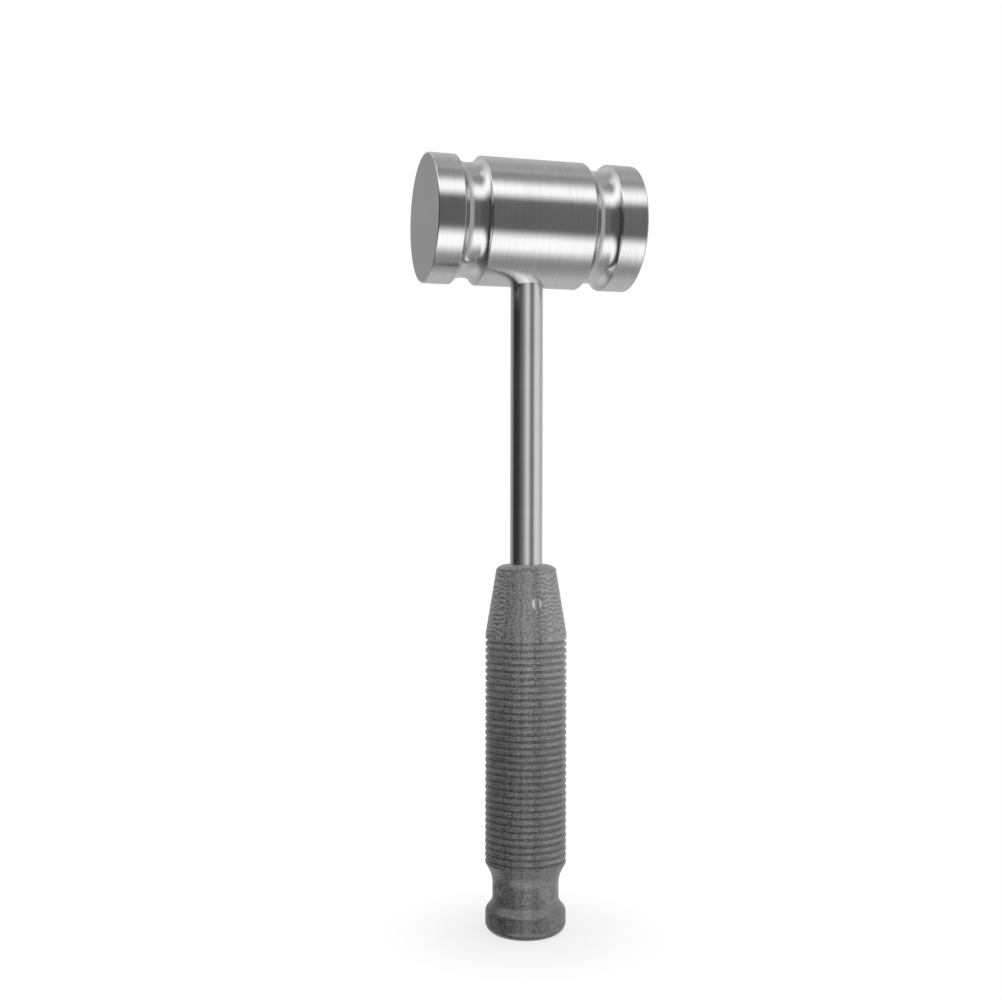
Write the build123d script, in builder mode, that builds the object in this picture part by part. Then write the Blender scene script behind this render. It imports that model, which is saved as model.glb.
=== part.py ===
"""A surgical mallet: a turned steel head on a round steel shaft, in a ringed laminate grip.

The mallet stands on the foot of its grip. The origin is the middle of that foot, +Z runs up
the shaft, the head lies along X and the cross pin of the grip lies along Y. All sizes are in mm.
"""
import os

from build123d import *

# The whole mallet, and how far a cut runs on past the surface it opens
overall_length = 245.0
cut_overrun = 1.0

# Head: one turned bar with a rounded channel near each striking face
head_diameter = 40.0
head_length = 67.0
rim_round = 0.5
channel_offset = 20.85
channel_width = 8.5
channel_floor = 1.1
channel_depth = 2.25
channel_lip_round = 0.45

# Shaft: a plain rod with broken ends
shaft_diameter = 10.3
shaft_end_chamfer = 0.6

# Blind bores that hold the shaft: the steel left above the one in the head, the rod's length in
# the grip, the clearance round the rod, and the room past its end
bore_cover = 12.5
shaft_in_grip = 62.0
shaft_clearance = 0.03
bore_relief = 0.5
bore_mouth_chamfer = 0.2

# Grip: one turned piece with a domed crown, a cone, a stack of rings, a waist and a foot
grip_length = 117.0
ring_diameter = 25.8
cone_length = 20.8
cone_top_diameter = 18.96
crown_height = 1.4
crown_flat_diameter = 12.0
crown_edge_round = 0.4

# Rings: what a row of V grooves leaves between them, with their edges broken
groove_count = 33
groove_pitch = 2.17
first_groove_drop = 24.15
groove_mouth = 1.2
groove_depth = 0.8
ring_edge_break = 0.22

# Foot, waist and the cove that runs up to the rings, each height above the one before
foot_diameter = 25.7
foot_height = 7.2
foot_bottom_round = 3.3
foot_top_round = 2.7
waist_diameter = 21.1
waist_rise = 2.9
waist_length = 7.75
waist_lower_round = 3.4
waist_upper_round = 9.8
cove_length = 4.45
cove_lip_round = 0.6

# Cross pin: through the cone of the grip and the shaft, ground flush with the cone
pin_diameter = 3.45
pin_drop = 11.8
pin_clearance = 0.02

# Places worked out from the sizes above
head_radius = head_diameter / 2
head_axis_height = overall_length - head_radius
head_underside = overall_length - head_diameter
shaft_radius = shaft_diameter / 2
bore_radius = shaft_radius + shaft_clearance
bore_top = overall_length - bore_cover
shaft_top = bore_top - bore_relief
shaft_bottom = grip_length - shaft_in_grip
ring_radius = ring_diameter / 2
cone_top = grip_length - crown_height
cone_foot = cone_top - cone_length
crown_flat_radius = crown_flat_diameter / 2
first_groove = grip_length - first_groove_drop
groove_heights = [first_groove - groove_pitch * number for number in range(groove_count)]
foot_radius = foot_diameter / 2
waist_radius = waist_diameter / 2
waist_foot = foot_height + waist_rise
waist_top = waist_foot + waist_length
cove_top = waist_top + cove_length
pin_radius = pin_diameter / 2
pin_height = grip_length - pin_drop

head_plane = Plane(origin=(0, 0, head_axis_height), x_dir=(1, 0, 0), z_dir=(0, -1, 0))
head_axis = Axis((0, 0, head_axis_height), (1, 0, 0))
pin_plane = Plane(origin=(0, 0, pin_height), x_dir=(1, 0, 0), z_dir=(0, -1, 0))

# Corners of the cone's half section, shared by the grip and by the ground ends of the pin
cone_lower_corner = (ring_radius, cone_foot)
cone_upper_corner = (cone_top_diameter / 2, cone_top)


def corner(section, place):
    """The corner of a section that lies at a place."""
    return section.vertices().sort_by_distance(place)[0]


# Channel section: a short flat floor between two arcs that leave it level and end on the lands
with BuildSketch() as channel:
    floor_height = head_radius - channel_depth
    with BuildLine():
        Line((-channel_floor / 2, floor_height), (channel_floor / 2, floor_height))
        TangentArc((channel_floor / 2, floor_height), (channel_width / 2, head_radius), tangent=(1, 0))
        Line((channel_width / 2, head_radius), (-channel_width / 2, head_radius))
        TangentArc((-channel_floor / 2, floor_height), (-channel_width / 2, head_radius), tangent=(-1, 0))
    make_face()

# Head: half of its section, turned about the head's own axis, with the bore for the shaft
with BuildPart() as head:
    with BuildSketch(head_plane) as head_section:
        Rectangle(head_length, head_radius, align=(Align.CENTER, Align.MIN))
        with Locations((-channel_offset, 0), (channel_offset, 0)):
            add(channel.sketch, mode=Mode.SUBTRACT)
        rims = [corner(head_section, (side * head_length / 2, head_radius)) for side in (-1, 1)]
        fillet(rims, rim_round)
        lips = [
            corner(head_section, (side * channel_offset + edge * channel_width / 2, head_radius))
            for side in (-1, 1)
            for edge in (-1, 1)
        ]
        fillet(lips, channel_lip_round)
    revolve(axis=head_axis)
    with BuildSketch(Plane.XY.offset(bore_top)):
        Circle(bore_radius)
    extrude(amount=head_underside - cut_overrun - bore_top, mode=Mode.SUBTRACT)
    chamfer(head.edges().filter_by(GeomType.BSPLINE), bore_mouth_chamfer)
head.part.label = "head"

# Shaft: a rod with broken ends and the cross hole for the pin
with BuildPart() as shaft:
    with BuildSketch(Plane.XY.offset(shaft_bottom)):
        Circle(shaft_radius)
    extrude(amount=shaft_top - shaft_bottom)
    chamfer(shaft.edges().filter_by(GeomType.CIRCLE), shaft_end_chamfer)
    with BuildSketch(pin_plane):
        Circle(pin_radius + pin_clearance)
    extrude(amount=ring_radius, both=True, mode=Mode.SUBTRACT)
shaft.part.label = "shaft"

# Grip: half of its section, with its rounded corners and ring grooves, turned about the shaft's axis
with BuildPart() as grip:
    with BuildSketch(Plane.XZ) as grip_section:
        with BuildLine():
            Polyline(
                (0, 0),
                (foot_radius, 0),
                (foot_radius, foot_height),
                (waist_radius, waist_foot),
                (waist_radius, waist_top),
                (ring_radius, cove_top),
                cone_lower_corner,
                cone_upper_corner,
            )
            TangentArc((crown_flat_radius, grip_length), cone_upper_corner, tangent=(1, 0))
            Polyline((crown_flat_radius, grip_length), (0, grip_length), (0, 0))
        make_face()
        fillet(corner(grip_section, (foot_radius, 0)), foot_bottom_round)
        fillet(corner(grip_section, (foot_radius, foot_height)), foot_top_round)
        fillet(corner(grip_section, (waist_radius, waist_foot)), waist_lower_round)
        fillet(corner(grip_section, (waist_radius, waist_top)), waist_upper_round)
        fillet(corner(grip_section, (ring_radius, cove_top)), cove_lip_round)
        fillet(corner(grip_section, cone_upper_corner), crown_edge_round)
        with Locations((0, grip_length)):
            Rectangle(
                bore_radius, shaft_in_grip + bore_relief, align=(Align.MIN, Align.MAX), mode=Mode.SUBTRACT
            )
        chamfer(corner(grip_section, (bore_radius, grip_length)), bore_mouth_chamfer)
        with Locations([(ring_radius, height) for height in groove_heights]):
            Polygon(
                (-groove_depth, 0),
                (0, -groove_mouth / 2),
                (0, groove_mouth / 2),
                align=None,
                mode=Mode.SUBTRACT,
            )
        ring_edges = [
            corner(grip_section, (ring_radius, height + side * groove_mouth / 2))
            for height in groove_heights
            for side in (-1, 1)
        ]
        chamfer(ring_edges, ring_edge_break)
    revolve(axis=Axis.Z)
    with BuildSketch(pin_plane):
        Circle(pin_radius + pin_clearance)
    extrude(amount=ring_radius + cut_overrun, both=True, mode=Mode.SUBTRACT)
grip.part.label = "grip"

# Cross pin: a rod that the surface of the cone cuts off at both ends
with BuildPart() as grip_pin:
    with BuildSketch(pin_plane):
        Circle(pin_radius)
    extrude(amount=ring_radius, both=True)
    with BuildSketch(Plane.XZ):
        Polygon((0, cone_foot), cone_lower_corner, cone_upper_corner, (0, cone_top), align=None)
    revolve(axis=Axis.Z, mode=Mode.INTERSECT)
grip_pin.part.label = "grip_pin"

os.makedirs("parts", exist_ok=True)
for piece in (head, shaft, grip, grip_pin):
    export_step(piece.part, f"parts/{piece.part.label}.step")
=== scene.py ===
"""Looks for a surgical mallet: brushed steel head, polished shaft, turned laminate grip and its pin.

All places are in metres. The grip and the shaft turn about Z, the head about a line along X, and
the pin lies along Y.
"""

import math

import bpy
import numpy as np
from mathutils import Matrix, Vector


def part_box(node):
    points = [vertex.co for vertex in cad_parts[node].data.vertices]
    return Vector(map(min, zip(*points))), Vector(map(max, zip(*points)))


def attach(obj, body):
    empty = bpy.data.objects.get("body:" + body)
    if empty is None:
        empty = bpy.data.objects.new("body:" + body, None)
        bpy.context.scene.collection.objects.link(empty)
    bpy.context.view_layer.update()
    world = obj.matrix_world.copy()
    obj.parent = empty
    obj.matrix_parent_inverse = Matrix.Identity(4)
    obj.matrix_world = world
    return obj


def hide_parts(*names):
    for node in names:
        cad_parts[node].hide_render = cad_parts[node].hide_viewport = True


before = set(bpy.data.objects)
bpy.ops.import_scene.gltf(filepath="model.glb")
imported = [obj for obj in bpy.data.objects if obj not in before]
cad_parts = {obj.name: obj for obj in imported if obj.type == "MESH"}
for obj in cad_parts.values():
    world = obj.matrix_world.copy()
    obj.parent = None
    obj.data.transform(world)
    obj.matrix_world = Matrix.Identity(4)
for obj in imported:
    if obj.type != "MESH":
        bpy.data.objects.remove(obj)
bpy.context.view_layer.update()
MM = 0.001
DEGREE = 180 / math.pi

# Sizes read from the parts of model.glb
head_low, head_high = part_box("head")
shaft_low, shaft_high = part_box("shaft")
grip_low, grip_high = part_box("grip")
pin_low, pin_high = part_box("grip_pin")
half_head = (head_high[0] - head_low[0]) / 2
head_radius = (head_high[2] - head_low[2]) / 2
head_height = (head_high[2] + head_low[2]) / 2
shaft_radius = (shaft_high[0] - shaft_low[0]) / 2
grip_top = grip_high[2]
ring_radius = (grip_high[0] - grip_low[0]) / 2
pin_radius = (pin_high[0] - pin_low[0]) / 2
pin_height = (pin_high[2] + pin_low[2]) / 2

# Head: rims, and the rounded channels near its ends
rim_round = 0.5 * MM
channel_offset = 20.85 * MM
channel_half_width = 4.25 * MM
channel_half_floor = 0.55 * MM
channel_depth = 2.25 * MM
lip_round = 0.45 * MM

# Shaft and the blind bores that it stands in
shaft_end_round = 0.5 * MM
bore_radius = shaft_radius + 0.05 * MM
bore_relief = 0.5 * MM
bore_break = 0.2 * MM

# Grip: crown, cone, ring grooves, how far their row and the plain ends by it go on past the outer
# grooves, cove, waist and foot, with the heights above the foot's underside
crown_flat_radius = 6.0 * MM
crown_edge_round = 0.35 * MM
cone_top = grip_top - 1.4 * MM
cone_top_radius = 9.48 * MM
cone_foot = cone_top - 20.8 * MM
cone_foot_round = 4.0 * MM
groove_count = 33
groove_pitch = 2.17 * MM
first_groove = grip_top - 24.15 * MM
groove_half_mouth = 0.6 * MM
groove_point_depth = 0.95 * MM
groove_floor_round = 0.2 * MM
ring_edge_round = 0.5 * MM
row_end = 0.96 * MM
plain_end = 0.3 * MM
foot_radius = 12.85 * MM
foot_height = 7.2 * MM
foot_bottom_round = 3.3 * MM
foot_top_round = 2.7 * MM
waist_radius = 10.55 * MM
waist_foot = 10.1 * MM
waist_top = 17.85 * MM
waist_lower_round = 3.4 * MM
waist_upper_round = 9.8 * MM
cove_top = 22.3 * MM
cove_lip_round = 0.6 * MM

# How many points go round the head, the shaft, the grip and the pin
head_turns, shaft_turns, grip_turns, pin_turns = 384, 192, 144, 64

# How many points the rounds of each outline have, and how many rows the middle land and the cone
head_points, hollow_points, shaft_points = 7, 14, 6
foot_points, ring_points, cone_points, crown_points, bore_points = 14, 5, 9, 14, 6
land_rows, cone_rows = 33, 24

# Blocks of faces that the seats take the place of: their reach along the axis and in points round it
head_block = 6.5 * MM, 20
grip_block = 2.9 * MM, 6

# Cross pin and its seat in the cone
pin_gap = 0.04 * MM
pin_break = 0.1 * MM
pin_dome = 0.12 * MM
seat_depth = 2.0 * MM

# Level ways as X and Y: from the mallet to about where the camera stands, and square to it, to the right
front = np.array([-0.323, -0.946])
right = np.array([0.946, -0.323])


# Outlines: points as (distance from the turning axis, place along it), with outward normals.
# The solid lies to the left of the way that an outline runs.

def arc(centre, radius, start, end, count):
    """Points centre + radius * n, where n turns evenly from one angle in degrees to another.

    n is the outward normal, so a negative radius makes a hollow arc.
    """
    angle = np.radians(np.linspace(start, end, count))
    normals = np.stack([np.cos(angle), np.sin(angle)], axis=1)
    return np.array(centre) + radius * normals, normals


def rounded(corners, radii, count):
    """Straight sides through corners, where an arc tangent to both sides takes each inner one's place.

    The arc starts radius * tan(turn / 2) before its corner, and its normal turns evenly from that of
    the side before to that of the side after.
    """
    corners = np.array(corners)
    radii = np.array(radii)[:, None, None]
    run = np.diff(corners, axis=0)
    run /= np.linalg.norm(run, axis=1)[:, None]
    side = np.stack([run[:, 1], -run[:, 0]], axis=1)
    cross = run[:-1, 0] * run[1:, 1] - run[:-1, 1] * run[1:, 0]
    turn = np.arctan2(cross, (run[:-1] * run[1:]).sum(axis=1))[:, None]
    angle = np.arctan2(side[:-1, 1], side[:-1, 0])[:, None] + turn * np.linspace(0, 1, count)
    normals = np.stack([np.cos(angle), np.sin(angle)], axis=2)
    reach = radii * np.tan(np.abs(turn) / 2)[:, :, None]
    start = corners[1:-1, None] - run[:-1, None] * reach
    points = start + np.sign(turn)[:, :, None] * radii * (normals - normals[:, :1])
    points = np.concatenate([corners[:1], points.reshape(-1, 2), corners[-1:]])
    normals = np.concatenate([side[:1], normals.reshape(-1, 2), side[-1:]])
    return points, normals


def joined(*spans):
    """One outline from spans laid end to end."""
    return tuple(np.concatenate(parts) for parts in zip(*spans))


def mirrored(outline):
    """An outline with its places along the axis changed in sign, run backwards."""
    flip = np.array([1, -1])
    return tuple(values[::-1] * flip for values in outline)


def divided(outline, place, count):
    """An outline whose side that passes a place along the axis is cut into equal parts."""
    row = np.flatnonzero((outline[0][:-1, 1] - place) * (outline[0][1:, 1] - place) < 0)[0]
    share = np.arange(1, count)[:, None] / count
    return tuple(
        np.insert(values, row + 1, values[row] * (1 - share) + values[row + 1] * share, axis=0)
        for values in outline
    )


# Surfaces: a shell is a list of points, of outward normals and of faces, which grows piece by piece

class Shell:
    """A closed surface in the making."""

    def __init__(self):
        self.points = np.zeros((0, 3))
        self.normals = np.zeros((0, 3))
        self.faces = []
        self.finishes = []

    def add_points(self, points, normals):
        """Adds points and gives their numbers, in the same arrangement."""
        first = len(self.points)
        self.points = np.concatenate([self.points, points.reshape(-1, 3)])
        self.normals = np.concatenate([self.normals, normals.reshape(-1, 3)])
        return first + np.arange(points.size // 3).reshape(points.shape[:-1])

    def add_faces(self, faces, finish=0):
        """Adds faces, each turned so that it looks the way its points' normals do."""
        corners = self.points[faces]
        facing = np.cross(corners[:, 1] - corners[:, 0], corners[:, 2] - corners[:, 0])
        wrong = (facing * self.normals[faces].sum(axis=1)).sum(axis=1) < 0
        self.faces += np.where(wrong[:, None], faces[:, ::-1], faces).tolist()
        self.finishes += np.broadcast_to(finish, len(faces)).tolist()

    def add_rings(self, rings, finish=0):
        """Faces between closed rings of points that follow one another."""
        low, high = rings[:-1], rings[1:]
        quads = np.stack([low, np.roll(low, -1, axis=1), np.roll(high, -1, axis=1), high], axis=2)
        self.add_faces(quads.reshape(-1, 4), finish)

    def add_fan(self, ring, tip, normal, finish=0):
        """Faces between a closed ring of points and one tip."""
        pole = self.add_points(np.array(tip)[None], np.array(normal)[None])
        fan = np.stack([ring, np.roll(ring, -1), np.broadcast_to(pole, len(ring))], axis=1)
        self.add_faces(fan, finish)

    def piece(self, name, materials, node, finish_slot):
        """The finished piece: it stands for a node, and rides with the mallet's one body."""
        mesh = bpy.data.meshes.new(name)
        mesh.from_pydata(self.points.tolist(), [], self.faces)
        for material in materials:
            mesh.materials.append(material)
        mesh.polygons.foreach_set("material_index", self.finishes)
        mesh.shade_smooth()
        mesh.normals_split_custom_set_from_vertices(self.normals.tolist())
        thing = bpy.data.objects.new(name, mesh)
        bpy.context.scene.collection.objects.link(thing)
        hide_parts(node)
        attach(thing, "root")
        return thing


def turned(shell, outline, axis, across, centre, turns, finish=None, holes=()):
    """Turns an outline about an axis: centre + axis * place + distance * (cos t * across + sin t * side).

    Its first and last points lie on the axis and become one point each. finish gives each ring of
    faces its material by the middle of its span. holes are blocks of faces that are left out, each as
    rows and columns, and the points' numbers are returned for what fills them.
    """
    points, normals = outline
    axis, across = np.array(axis), np.array(across)
    angle = 2 * np.pi * np.arange(turns)[:, None] / turns
    spoke = np.cos(angle) * across + np.sin(angle) * np.cross(axis, across)
    distance, place = points[1:-1, :1, None], points[1:-1, 1:, None]
    grid = shell.add_points(
        centre + distance * spoke + place * axis,
        normals[1:-1, :1, None] * spoke + normals[1:-1, 1:, None] * axis,
    )
    finishes = np.zeros(len(points) - 1, int) if finish is None else finish((points[1:] + points[:-1]) / 2)
    low, high = grid[:-1], grid[1:]
    quads = np.stack([low, np.roll(low, -1, axis=1), np.roll(high, -1, axis=1), high], axis=2)
    kept = np.ones(quads.shape[:2], bool)
    for rows, columns in holes:
        kept[np.ix_(np.arange(*rows), np.arange(*columns) % turns)] = False
    shell.add_faces(quads[kept], np.broadcast_to(finishes[1:-1, None], kept.shape)[kept])
    for end in (0, -1):
        tip = centre + axis * points[end, 1]
        shell.add_fan(grid[end], tip, axis * normals[end, 1], finishes[end])
    return grid


def block_edge(grid, rows, columns):
    """Numbers of the points round a block of a grid of rings, in order."""
    across = np.arange(*columns)
    up = np.arange(*rows)
    turns = grid.shape[1]
    return np.concatenate([
        grid[rows[0], across % turns],
        grid[up, columns[1] % turns],
        grid[rows[1], (across[::-1] + 1) % turns],
        grid[up[::-1] + 1, columns[0] % turns],
    ])


def seat(shell, edge, surface, way, side, up, centre, radius, edge_break, floor, finish=0):
    """Fills a block of a surface with a round seat: a blind hole along a line, with a broken edge.

    A point of the seat is centre + a * side + b * up, moved along the line until it lies on the
    surface, which is a function of a and b that gives its place and its normal. Rings of points lead
    from the block's edge in to the seat's, a and b going straight from the one to the other. way is
    the line's direction into the solid.
    """
    side, up, way = np.array(side), np.array(up), np.array(way)
    off = shell.points[edge] - centre
    rim = np.stack([off @ side, off @ up], axis=1)
    spoke = rim / np.linalg.norm(rim, axis=1)[:, None]
    share = np.array([0.3, 0.65, 0.85, 0.96, 1.0])[:, None, None]
    flat = rim * (1 - share) + spoke * (radius + edge_break) * share
    points, normals = surface(flat[..., 0], flat[..., 1])
    rings = np.concatenate([edge[None], shell.add_points(points, normals)])
    wall = spoke * radius
    top, _ = surface(wall[:, 0], wall[:, 1])
    inward = -(spoke[:, :1] * side + spoke[:, 1:] * up)
    bottom = top + way * ((np.array(centre) @ way + floor) - top @ way)[:, None]
    walls = shell.add_points(np.stack([top + way * edge_break, bottom]), np.stack([inward, inward]))
    shell.add_rings(np.concatenate([rings, walls]), finish)
    shell.add_fan(walls[-1], centre + way * floor, -way, finish)


# Shader trees

class Value:
    """One output socket of a tree, so that sums on it are written as Python expressions."""

    def __init__(self, shader, socket):
        self.shader = shader
        self.socket = socket

    def sum(self, operation, *terms):
        """A Math node on the terms."""
        return self.shader.make("ShaderNodeMath", {"operation": operation}, dict(enumerate(terms)))

    def __add__(self, other):
        return self.sum("ADD", self, other)

    def __radd__(self, other):
        return self.sum("ADD", other, self)

    def __sub__(self, other):
        return self.sum("SUBTRACT", self, other)

    def __rsub__(self, other):
        return self.sum("SUBTRACT", other, self)

    def __mul__(self, other):
        return self.sum("MULTIPLY", self, other)

    def __rmul__(self, other):
        return self.sum("MULTIPLY", other, self)

    def __truediv__(self, other):
        return self.sum("DIVIDE", self, other)

    def __pow__(self, other):
        return self.sum("POWER", self, other)


class Shader:
    """A node tree, emptied, with one method that makes any node."""

    def __init__(self, tree):
        self.tree = tree
        tree.nodes.clear()

    def make(self, kind, settings=None, values=None, output=0):
        """Makes a node: its settings first, then the values or links of its sockets by name or number."""
        node = self.tree.nodes.new(kind)
        for name, setting in (settings or {}).items():
            if name == "stops":
                self.set_stops(node.color_ramp, *setting)
            else:
                setattr(node, name, setting)
        for name, value in (values or {}).items():
            if isinstance(value, Value):
                self.tree.links.new(value.socket, node.inputs[name])
            else:
                node.inputs[name].default_value = value
        return Value(self, node.outputs[output]) if len(node.outputs) else node

    @staticmethod
    def set_stops(ramp, stops, interpolation):
        """Gives a ramp its stops, each a position and a grey level, and its way between them."""
        ramp.interpolation = interpolation
        while len(ramp.elements) < len(stops):
            ramp.elements.new(1)
        for element, (position, level) in zip(ramp.elements, stops):
            element.position = position
            element.color = (level, level, level, 1)

    def levels(self, value, low, high, stops, interpolation="EASE"):
        """A number between levels given at stops over the range from low to high."""
        share = self.spread(value, low, high)
        shares = [((place - low) / (high - low), level) for place, level in stops]
        return self.make("ShaderNodeValToRGB", {"stops": (shares, interpolation)}, {"Fac": share})

    def spread(self, value, low, high, low_to=0.0, high_to=1.0, smooth=False):
        """A value's range spread to another, held at its ends."""
        settings = {"interpolation_type": "SMOOTHSTEP" if smooth else "LINEAR"}
        values = {"Value": value, "From Min": low, "From Max": high, "To Min": low_to, "To Max": high_to}
        return self.make("ShaderNodeMapRange", settings, values)

    def band(self, value, low, high, soft):
        """One between low and high, and nothing outside, with soft edges."""
        rise = self.spread(value, low - soft, low + soft, smooth=True)
        fall = self.spread(value, high - soft, high + soft, 1.0, 0.0, smooth=True)
        return rise * fall

    def parts(self, vector):
        """The three numbers of a vector."""
        node = self.make("ShaderNodeSeparateXYZ", values={"Vector": vector}).socket.node
        return [Value(self, socket) for socket in node.outputs]

    def vector(self, x, y, z):
        """A vector of three numbers."""
        return self.make("ShaderNodeCombineXYZ", values={"X": x, "Y": y, "Z": z})

    def noise(self, vector, scale, detail=2.0, roughness=0.5):
        """Noise from nought to one, with its size in cells to the unit of the vector."""
        values = {"Vector": vector, "Scale": scale, "Detail": detail, "Roughness": roughness}
        return self.make("ShaderNodeTexNoise", {"noise_dimensions": "3D"}, values)

    def turn(self, x, y):
        """How far a place is turned from the front to the right about Z, in degrees from -180 to 180."""
        ahead = x * front[0] + y * front[1]
        aside = x * right[0] + y * right[1]
        return self.make("ShaderNodeMath", {"operation": "ARCTAN2"}, {0: aside, 1: ahead}) * DEGREE

    def grey(self, level):
        """A colour of one grey level."""
        return self.make("ShaderNodeCombineColor", values={"Red": level, "Green": level, "Blue": level})


def new_material(name):
    """An empty material and the tree that makes its look."""
    material = bpy.data.materials.new(name)
    material.use_nodes = True
    return material, Shader(material.node_tree)


def finished(shader, **sockets):
    """Ends a tree with one surface shader, its sockets named with _ for a space."""
    values = {name.replace("_", " "): value for name, value in sockets.items()}
    surface = shader.make("ShaderNodeBsdfPrincipled", values=values)
    shader.make("ShaderNodeOutputMaterial", values={"Surface": surface})


def lined_steel(name, level, roughness, cells, depth, wear=0.04, grain=0.0, grain_turn=0.0):
    """Bare steel with the fine lines that a tool leaves.

    The lines are noise with many cells to the millimetre across them and few along them, which cells
    gives for X, Y and Z. They change the level of grey, the roughness and, by depth, the height.
    grain spreads reflections across the lines: level round Z, or with grain_turn of a quarter along it.
    """
    material, shader = new_material(name)
    place = shader.make("ShaderNodeTexCoord", output="Object")
    x, y, z = shader.parts(place)
    fine = shader.noise(shader.vector(x * cells[0] / MM, y * cells[1] / MM, z * cells[2] / MM), 1.0, 3.0)
    broad = shader.noise(place, 0.09 / MM, 2.0)
    shade = level * (1 + (fine - 0.5) * wear * 2 + (broad - 0.5) * wear)
    bump = shader.make("ShaderNodeBump", values={"Height": fine, "Strength": 0.5, "Distance": depth})
    finished(
        shader,
        Base_Color=shader.grey(shade),
        Metallic=1.0,
        Roughness=roughness * (1 + (fine - 0.5) * 0.5 + (broad - 0.5) * 0.3),
        Anisotropic=grain,
        Anisotropic_Rotation=grain_turn,
        Normal=bump,
    )
    return material


# Laminate: the thickness of a ply, how far plies lie out of round by slow and by quick noise and by
# folds, and the sector that the folds lie in, as turns from the front in degrees
ply = 0.235 * MM
slow_reach = 0.9 * MM
quick_reach = 0.28 * MM
fold_reach = 3.2 * MM
sector_start, sector_end, sector_edge = -31, 21, 6

# Its grey from the waist up to the cone and where that changes, which is painted light that falls off
# downward, how much painted shade darkens the foot and up to where, the dark crease under the crown,
# and the height over which rings and cone change their look
shaded_grey_below, lit_grey_above = 0.163, 0.262
painted_light_start, painted_light_end = 52 * MM, 106 * MM
foot_painted_shade = 0.76
foot_shade_start, foot_shade_end = 6 * MM, 14 * MM
crease_start, crease_end, crease_edge = cone_top - 0.28 * MM, cone_top + 0.02 * MM, 0.1 * MM
cone_blend = 2 * MM

# Seams of the cloth, front and back: how dark the surface is at a turn from the front
seams = [
    (-42, 0.0), (-34, 0.2), (-30, 1.0), (-26, 0.4), (-21, 1.0), (-15, 0.4), (-9, 0.1), (-5, 0.95),
    (-2, 0.05), (10, 0.05), (14, 0.8), (17, 0.35), (21, 0.7), (26, 0.05), (42, 0.0),
]


def turned_laminate():
    """Cloth and resin rolled to a rod and turned: the cut surface crosses its plies.

    A ply's number is its distance from the axis over its thickness. Slow and quick noise put the
    plies out of round, and in one sector folds push them in and out, so that the cone cuts them to
    wavy level lines beside a sector of upright ones. A dark broken line of resin lies between plies,
    dotted seams run up the front and the back, and a fine speckle is the cut ends of the threads.
    The cone is less speckled than the rings. Painted light makes the grey rise from the waist up to the
    cone and lifts it on the cone's left, and painted shade darkens the foot.
    """
    material, shader = new_material("turned_laminate")
    place = shader.make("ShaderNodeTexCoord", output="Object")
    x, y, z = shader.parts(place)
    distance = (x * x + y * y) ** 0.5
    turn = shader.turn(x, y)
    half_turn = shader.make("ShaderNodeMath", {"operation": "WRAP"}, {0: turn, 1: 90, 2: -90})
    sector = shader.band(half_turn, sector_start, sector_end, sector_edge)
    slow = shader.noise(place, 0.16 / MM, 2.0)
    quick = shader.noise(shader.vector(x * 0.55 / MM, y * 0.55 / MM, z * 0.3 / MM), 1.0, 2.0)
    folds = shader.noise(shader.vector(turn * 0.21, z * 0.12 / MM, 0.0), 1.0, 2.0)
    out_of_round = (slow - 0.5) * slow_reach + (quick - 0.5) * quick_reach
    plies = (distance + out_of_round + (folds - 0.5) * fold_reach * sector) / ply
    resin = shader.make("ShaderNodeMath", {"operation": "PINGPONG"}, {0: plies, 1: 0.5}) * 2
    broken = shader.noise(place, 1.1 / MM, 1.0)
    line = shader.spread(resin, 0.0, 0.8, 1.0, 0.0, smooth=True) * shader.spread(broken, 0.22, 0.46)
    dots = shader.noise(shader.vector(half_turn * 0.3, z * 0.9 / MM, 0.0), 1.0, 1.0)
    seam = shader.levels(half_turn, -90, 90, seams, "LINEAR") * shader.spread(dots, 0.38, 0.62)
    threads = shader.noise(place, 2.3 / MM, 2.0, 0.75)
    cloth = shader.noise(shader.vector(half_turn * 0.4, distance * 1.2 / MM, z * 1.4 / MM), 1.0, 2.0, 0.6)
    crease = shader.band(z, crease_start, crease_end, crease_edge)
    on_cone = shader.spread(z, cone_foot - cone_blend, cone_foot + cone_blend)
    # Painted light: the grey rises with height from the waist to the cone, as if lit from above
    level = shader.spread(z, painted_light_start, painted_light_end, shaded_grey_below, lit_grey_above, smooth=True)
    # Painted light: the cone's grey is lifted on its left, where the studio light is weak
    level = level * (1 + on_cone * shader.spread(half_turn, -60, 5, 0.3, 0.0))
    # Painted shade: the grey darkens towards the foot, as if less lit there
    level = level * shader.spread(z, foot_shade_start, foot_shade_end, foot_painted_shade, 1.0, smooth=True)
    strength = shader.spread(half_turn, -50, 40, 1.0, 0.65) + on_cone * 0.2
    dark = line * strength * 0.78 + seam * (0.6 - on_cone * 0.1) + crease * 0.45
    rougher = 1.45 - on_cone * 0.5
    speckle = ((threads - 0.5) * (1.7 + sector * 2.0) + (cloth - 0.5) * 0.6) * rougher
    cut = shader.spread(1.25 + speckle, 0.3, 2.5, 0.3, 2.5)
    shade = level * cut * shader.spread(dark, 0.0, 1.0, 1.0, 0.2)
    bump = shader.make(
        "ShaderNodeBump", values={"Height": threads - dark * 0.5, "Strength": 0.4, "Distance": 0.015 * MM}
    )
    finished(
        shader,
        Base_Color=shader.grey(shade),
        Roughness=0.23 + line * 0.1 + (threads - 0.5) * 0.15,
        Specular_IOR_Level=0.85,
        Normal=bump,
    )
    return material


# Pieces

def rows_near(outline, place, reach):
    """First and last ring of the points whose place along the axis is within reach of one."""
    rows = np.flatnonzero(np.abs(outline[0][1:-1, 1] - place) < reach)
    return rows[0], rows[-1]


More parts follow.
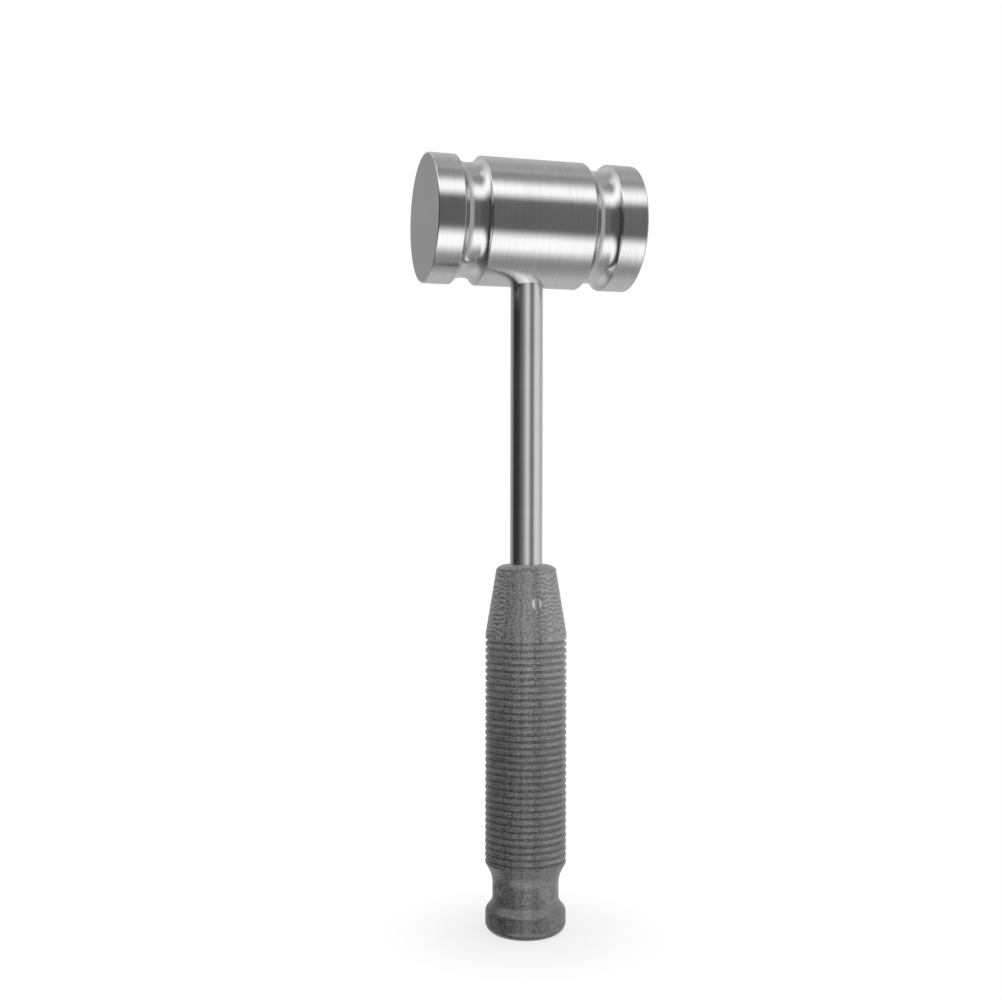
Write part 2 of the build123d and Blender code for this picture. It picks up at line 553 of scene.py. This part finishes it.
def head_outline():
    """Half of the head's section: flat face, rim, land, channel between rounded lips, middle land.

    A channel's arc leaves its floor level and would cut the land at the channel's half width, which
    gives its radius. The lip's arc touches the land and the channel's arc.
    """
    run = channel_half_width - channel_half_floor
    hollow = (run ** 2 + channel_depth ** 2) / (2 * channel_depth)
    hollow_height = head_radius - channel_depth + hollow
    lip_height = head_radius - lip_round
    rise = hollow_height - lip_height
    reach = math.sqrt((hollow + lip_round) ** 2 - rise ** 2)
    lean = math.degrees(math.atan2(reach, rise))
    near, far = -channel_offset - channel_half_floor, -channel_offset + channel_half_floor
    half = joined(
        (np.array([[0, -half_head]]), np.array([[0, -1]])),
        arc((head_radius - rim_round, -half_head + rim_round), rim_round, -90, 0, head_points),
        arc((lip_height, near - reach), lip_round, 0, lean, head_points),
        arc((hollow_height, near), -hollow, lean, 0, hollow_points),
        arc((hollow_height, far), -hollow, 0, -lean, hollow_points),
        arc((lip_height, far + reach), lip_round, -lean, 0, head_points),
    )
    return divided(joined(half, mirrored(half)), 0, land_rows)


def head_finish(middles):
    """Slot of each ring of faces: nought for the lands, one in a channel, two on a striking face."""
    in_channel = np.abs(np.abs(middles[:, 1]) - channel_offset) < channel_half_width
    return np.where(in_channel, 1, np.where(middles[:, 0] < head_radius - rim_round, 2, 0))


def underside(a, b):
    """The head's underside at X = a and Y = b."""
    drop = np.sqrt(head_radius ** 2 - b ** 2)
    points = np.stack([a, b, head_height - drop], axis=-1)
    return points, np.stack([a * 0, b, -drop], axis=-1) / head_radius


def make_head(materials):
    """The head, with the shaft's bore in its underside."""
    shell = Shell()
    outline = head_outline()
    reach, half_columns = head_block
    rows = rows_near(outline, 0, reach)
    columns = (-half_columns, half_columns)
    centre = np.array([0, 0, head_height])
    blocks = [(rows, columns)]
    grid = turned(shell, outline, (1, 0, 0), (0, 0, -1), centre, head_turns, head_finish, blocks)
    seat(
        shell, block_edge(grid, rows, columns), underside, (0, 0, 1), (1, 0, 0), (0, 1, 0), np.zeros(3),
        bore_radius, bore_break, shaft_high[2] + bore_relief
    )
    return shell.piece("head_turned", materials, "head", "head_steel")


def make_shaft(material):
    """The shaft: a rod with rounded ends."""
    shell = Shell()
    low, high = shaft_low[2], shaft_high[2]
    corners = [(0, low), (shaft_radius, low), (shaft_radius, high), (0, high)]
    outline = rounded(corners, [shaft_end_round] * 2, shaft_points)
    turned(shell, outline, (0, 0, 1), (0, -1, 0), np.zeros(3), shaft_turns)
    return shell.piece("shaft_rod", [material], "shaft", "shaft_steel")


def grip_outline():
    """Half of the grip's section from the foot's middle up round the outside and down the bore."""
    foot = rounded(
        [
            (0, 0),
            (foot_radius, 0),
            (foot_radius, foot_height),
            (waist_radius, waist_foot),
            (waist_radius, waist_top),
            (ring_radius, cove_top),
            (ring_radius, cove_top + plain_end),
        ],
        [foot_bottom_round, foot_top_round, waist_lower_round, waist_upper_round, cove_lip_round],
        foot_points,
    )
    heights = first_groove - groove_pitch * np.arange(groove_count)[::-1, None]
    depths = ring_radius - groove_point_depth * np.array([0, 1, 0])
    rises = groove_half_mouth * np.array([-1, 0, 1])
    grooves = np.stack(np.broadcast_arrays(depths, heights + rises), axis=2).reshape(-1, 2)
    below = heights[0] - row_end
    above = heights[-1] + row_end
    rings = rounded(
        np.concatenate([[(ring_radius, below[0])], grooves, [(ring_radius, above[0])]]),
        [ring_edge_round, groove_floor_round, ring_edge_round] * groove_count,
        ring_points,
    )
    crown = crown_arc()
    cone = rounded(
        [
            (ring_radius, cone_foot - plain_end * 2),
            (ring_radius, cone_foot),
            (cone_top_radius, cone_top),
            crown[0][1],
        ],
        [cone_foot_round, crown_edge_round],
        cone_points,
    )
    cone = tuple(values[:-1] for values in cone)
    crown = tuple(values[2:] for values in crown)
    bore = rounded(
        [
            (crown_flat_radius, grip_top),
            (bore_radius, grip_top),
            (bore_radius, shaft_low[2] - bore_relief),
            (0, shaft_low[2] - bore_relief),
        ],
        [bore_break, bore_break],
        bore_points,
    )
    return divided(joined(foot, rings, cone, crown, bore), pin_height, cone_rows)


def crown_arc():
    """The domed crown: an arc from the cone's top edge that ends level on the flat round the bore.

    Its radius is (run * run + rise * rise) / (2 * rise).
    """
    run = cone_top_radius - crown_flat_radius
    rise = grip_top - cone_top
    radius = (run ** 2 + rise ** 2) / (2 * rise)
    lean = math.degrees(math.asin(run / radius))
    return arc((crown_flat_radius, grip_top - radius), radius, 90 - lean, 90, crown_points)


def cone_side(way):
    """The cone as a function of X = a and of b, the height from the pin's middle, on one side."""
    slope = (ring_radius - cone_top_radius) / (cone_top - cone_foot)

    def surface(a, b):
        distance = ring_radius - slope * (b + pin_height - cone_foot)
        depth = -way * np.sqrt(distance ** 2 - a ** 2)
        points = np.stack([a, depth, b + pin_height], axis=-1)
        normals = np.stack([a / distance, depth / distance, slope + 0 * a], axis=-1)
        return points, normals / math.hypot(1, slope)

    return surface


def make_grip(material):
    """The grip, with a seat for the pin at the front and at the back of its cone."""
    shell = Shell()
    outline = grip_outline()
    reach, half_columns = grip_block
    rows = rows_near(outline, pin_height, reach)
    halfway = grip_turns // 2
    front_block = (-half_columns, half_columns)
    back_block = (halfway - half_columns, halfway + half_columns)
    blocks = [(rows, front_block), (rows, back_block)]
    grid = turned(shell, outline, (0, 0, 1), (0, -1, 0), np.zeros(3), grip_turns, holes=blocks)
    centre = np.array([0, 0, pin_height])
    for block, way in ((front_block, 1), (back_block, -1)):
        edge = block_edge(grid, rows, block)
        seat(
            shell, edge, cone_side(way), (0, way, 0), (1, 0, 0), (0, 0, 1), centre,
            pin_radius + pin_gap, pin_gap, seat_depth - ring_radius
        )
    return shell.piece("grip_turned", [material], "grip", "grip_laminate")


def make_pin(material):
    """A rod with both ends ground to the cone: rings of points on the cone, then its wall.

    The grinding leaves the ends a little domed: a point stands proud by 1 - share * share of the dome,
    where share is its distance from the pin's axis over the pin's radius.
    """
    shell = Shell()
    angle = np.linspace(0, 2 * np.pi, pin_turns, endpoint=False)
    circle = np.stack([np.cos(angle), np.sin(angle)])
    reach = (pin_radius - pin_break) * np.array([0.25, 0.5, 0.75, 0.9, 1.0])[:, None]
    wall_normals = np.stack([circle[0], 0 * angle, circle[1]], axis=-1)
    rings = []
    for way in (1, -1):
        surface = cone_side(way)
        points, normals = surface(reach * circle[0], reach * circle[1])
        edge, _ = surface(pin_radius * circle[0], pin_radius * circle[1])
        share = reach / pin_radius
        points[..., 1] -= way * pin_dome * (1 - share ** 2)
        normals[..., 0] += share * circle[0] * pin_dome * 2 / pin_radius
        normals[..., 2] += share * circle[1] * pin_dome * 2 / pin_radius
        end = shell.add_points(points, normals)
        wall = shell.add_points(edge + np.array([0, way * pin_break, 0]), wall_normals)
        tip, normal = surface(np.zeros(1), np.zeros(1))
        shell.add_fan(end[0], tip[0] - np.array([0, way * pin_dome, 0]), normal[0])
        rings.append(np.concatenate([end, wall[None]]))
    shell.add_rings(np.concatenate([rings[0], rings[1][::-1]]))
    return shell.piece("pin_ground", [material], "grip_pin", "pin_steel")


land_steel = lined_steel("steel_turned_lands", 0.62, 0.165, (2.8, 0.05, 0.05), 0.003 * MM, 0.16, grain=0.6)
channel_steel = lined_steel("steel_satin_channels", 0.62, 0.16, (0.6, 0.05, 0.05), 0.0005 * MM)
face_steel = lined_steel("steel_ground_faces", 0.5, 0.36, (0.05, 2.6, 0.06), 0.004 * MM, 0.12)
rod_steel = lined_steel(
    "steel_polished_rod", 0.63, 0.2, (0.05, 0.05, 4.0), 0.002 * MM, 0.06, grain=0.75, grain_turn=0.25
)
pin_steel = lined_steel("steel_ground_pin", 0.66, 0.17, (4.0, 0.1, 0.1), 0.002 * MM)

make_head([land_steel, channel_steel, face_steel])
rod = make_shaft(rod_steel)
grip = make_grip(turned_laminate())
pin = make_pin(pin_steel)


# Studio: levels of light, from the camera's left behind the mallet round by the front to its right
# and behind again, in degrees, at five tilts: a dark gap lies level in front, with soft boxes over
# and under it, and strips of wall beside it
box_above = [
    (-180, 0.6), (-165, 0.75), (-122, 0.72), (-110, 0.85), (-96, 1.2), (-80, 1.5), (-60, 1.6), (48, 1.6),
    (60, 1.25), (80, 0.95), (100, 0.7), (122, 0.52), (150, 0.48), (180, 0.6),
]
gap_level = [
    (-180, 0.6), (-160, 0.55), (-135, 0.5), (-118, 0.34), (-98, 0.05), (-75, 0.035), (-55, 0.05),
    (-35, 0.12), (20, 0.13), (46, 0.2), (60, 0.52), (107, 0.52), (122, 0.58), (140, 0.7), (160, 0.62),
    (180, 0.6),
]
box_below = [
    (-180, 0.66), (-150, 0.76), (-128, 0.7), (-110, 0.3), (-92, 0.12), (-72, 0.15), (-50, 1.3), (-30, 1.6),
    (48, 1.6), (62, 1.2), (80, 0.85), (104, 0.55), (122, 0.47), (150, 0.64), (180, 0.66),
]
ceiling = [
    (-180, 0.5), (-125, 0.5), (-103, 0.85), (-86, 1.05), (-62, 0.85), (-36, 0.38), (90, 0.38), (108, 0.5),
    (120, 0.56), (138, 0.5), (180, 0.5),
]
table = [
    (-180, 0.42), (-150, 0.42), (-110, 0.2), (-70, 0.14), (-45, 0.36), (45, 0.4), (62, 0.4), (95, 0.36),
    (150, 0.42), (180, 0.42),
]
# Between which tilts, in degrees, the gap gives way to each of the others, in this order
tiers = [(box_above, 25, 45), (ceiling, 50, 70), (box_below, -18, -40), (table, -50, -74)]
# To the left of the front, tilts count as this much more, which lets the tiers hang lower there
left_start, left_end, left_drop = -36, -60, 4.0

# Level at which the studio lights matt surfaces, by the same turn
soft_light = [
    (-180, 0.45), (-140, 0.3), (-95, 0.12), (-50, 0.18), (0, 0.88), (40, 1.12), (90, 0.95), (140, 0.7),
    (180, 0.45),
]

# Light strip: it stands near in front of the shaft and the grip, lights them alone, and reaches
# through the floor so that the foot mirrors it too
strip_distance = 120 * MM
strip_foot, strip_top = -70 * MM, 330 * MM
strip_start, strip_end = -60, 126
strip_edges = 49
strip_levels = [
    (-60, 0.0), (-43, 0.02), (-28, 0.07), (-14, 0.27), (-1, 0.62), (9, 0.78), (16, 0.68), (28, 0.24),
    (38, 0.03), (47, 0.03), (58, 0.18), (68, 0.42), (80, 0.46), (96, 0.38), (115, 0.1), (126, 0.0),
]

# Floor: its radius, and where by the foot it starts and ends its change from the level of near_white,
# which is the share of plain white in what the camera sees, to full white
floor_radius = 1.5
fade_start, fade_end = 12 * MM, 50 * MM
near_white = 0.78

# Camera: its place, its heading about Z, its tilt below level and its roll in degrees, and its lens
camera_place = (-0.12666, -0.40469, 0.14248)
camera_heading, camera_tilt, camera_roll = -16.291, 0.686, 0.116
camera_lens = 47.88


def light_studio():
    """World light: white to the camera, soft light to matt surfaces, boxes, gap and walls to all else."""
    world = bpy.data.worlds.new("studio")
    world.use_nodes = True
    bpy.context.scene.world = world
    shader = Shader(world.node_tree)
    x, y, z = shader.parts(shader.make("ShaderNodeTexCoord", output="Generated"))
    turn = shader.turn(x, y)
    tilt = shader.make("ShaderNodeMath", {"operation": "ARCSINE"}, {0: z}) * DEGREE
    pattern = shader.levels(turn, -180, 180, gap_level)
    tilt = tilt + shader.spread(turn, left_start, left_end, 0.0, left_drop)
    for stops, start, end in tiers:
        share = shader.spread(tilt, start, end, smooth=True)
        pattern = pattern + (shader.levels(turn, -180, 180, stops) - pattern) * share
    camera = shader.make("ShaderNodeLightPath", output="Is Camera Ray")
    diffuse = shader.make("ShaderNodeLightPath", output="Is Diffuse Ray")
    lit = pattern + (shader.levels(turn, -180, 180, soft_light) - pattern) * diffuse
    white = (1.0, 1.0, 1.0, 1.0)
    strength = lit + (1 - lit) * camera
    background = shader.make("ShaderNodeBackground", values={"Color": white, "Strength": strength})
    shader.make("ShaderNodeOutputWorld", values={"Surface": background})


def stand_strip(lit_pieces):
    """The light strip, an upright part of a cylinder about Z that only the pieces named see."""
    angle = np.radians(np.linspace(strip_start, strip_end, strip_edges))[:, None]
    spots = strip_distance * (np.cos(angle) * front + np.sin(angle) * right)
    low = np.insert(spots, 2, strip_foot, axis=1)
    high = np.insert(spots, 2, strip_top, axis=1)
    first = np.arange(strip_edges - 1)
    above = first + strip_edges
    faces = np.stack([first, first + 1, above + 1, above], axis=1)
    mesh = bpy.data.meshes.new("light_strip")
    mesh.from_pydata(np.concatenate([low, high]).tolist(), [], faces.tolist())
    strip = bpy.data.objects.new("light_strip", mesh)
    bpy.context.scene.collection.objects.link(strip)
    material, shader = new_material("light_strip")
    x, y, _ = shader.parts(shader.make("ShaderNodeTexCoord", output="Object"))
    turn = shader.turn(x, y)
    level = shader.levels(turn, strip_start, strip_end, strip_levels)
    glow = shader.make("ShaderNodeEmission", values={"Strength": level})
    clear = shader.make("ShaderNodeBsdfTransparent")
    shader.make("ShaderNodeOutputMaterial", values={
        "Surface": shader.make("ShaderNodeAddShader", values={0: glow, 1: clear})
    })
    mesh.materials.append(material)
    strip.visible_camera = False
    strip.visible_diffuse = False
    strip.visible_shadow = False
    receivers = bpy.data.collections.new("lit_by_strip")
    for piece in lit_pieces:
        receivers.objects.link(piece)
    strip.light_linking.receiver_collection = receivers


def lay_floor():
    """A pale round floor that keeps a soft shadow by the foot and fades to white further out."""
    turns = 96
    angle = 2 * np.pi * np.arange(turns) / turns
    points = floor_radius * np.stack([np.cos(angle), np.sin(angle), 0 * angle], axis=1)
    mesh = bpy.data.meshes.new("floor")
    mesh.from_pydata(points.tolist(), [], [list(range(turns))])
    floor = bpy.data.objects.new("floor", mesh)
    bpy.context.scene.collection.objects.link(floor)
    material, shader = new_material("pale_floor")
    x, y, _ = shader.parts(shader.make("ShaderNodeTexCoord", output="Object"))
    far = shader.spread((x * x + y * y) ** 0.5, fade_start, fade_end, near_white, 1.0, smooth=True)
    seen = shader.make("ShaderNodeLightPath", output="Is Camera Ray")
    matt = shader.make("ShaderNodeBsdfDiffuse", values={"Color": (0.9, 0.9, 0.9, 1)})
    white = shader.make("ShaderNodeEmission", values={"Strength": 1.0})
    surface = shader.make("ShaderNodeMixShader", values={0: far * seen, 1: matt, 2: white})
    shader.make("ShaderNodeOutputMaterial", values={"Surface": surface})
    mesh.materials.append(material)
    floor.visible_glossy = False


def place_camera():
    """The photograph's view: a little left of the front, nearly level, at half the mallet's height."""
    camera = bpy.data.objects.new("camera", bpy.data.cameras.new("camera"))
    bpy.context.scene.collection.objects.link(camera)
    turns = zip((camera_heading, 90 - camera_tilt, camera_roll), "ZXZ")
    heading, tilt, roll = (Matrix.Rotation(math.radians(angle), 4, axis) for angle, axis in turns)
    camera.matrix_world = Matrix.Translation(camera_place) @ heading @ tilt @ roll
    camera.data.sensor_width = 36
    camera.data.lens = camera_lens
    camera.data.clip_start = 0.01
    bpy.context.scene.camera = camera


light_studio()
stand_strip([rod, grip, pin])
lay_floor()
place_camera()
bpy.context.scene.view_settings.view_transform = "Standard"
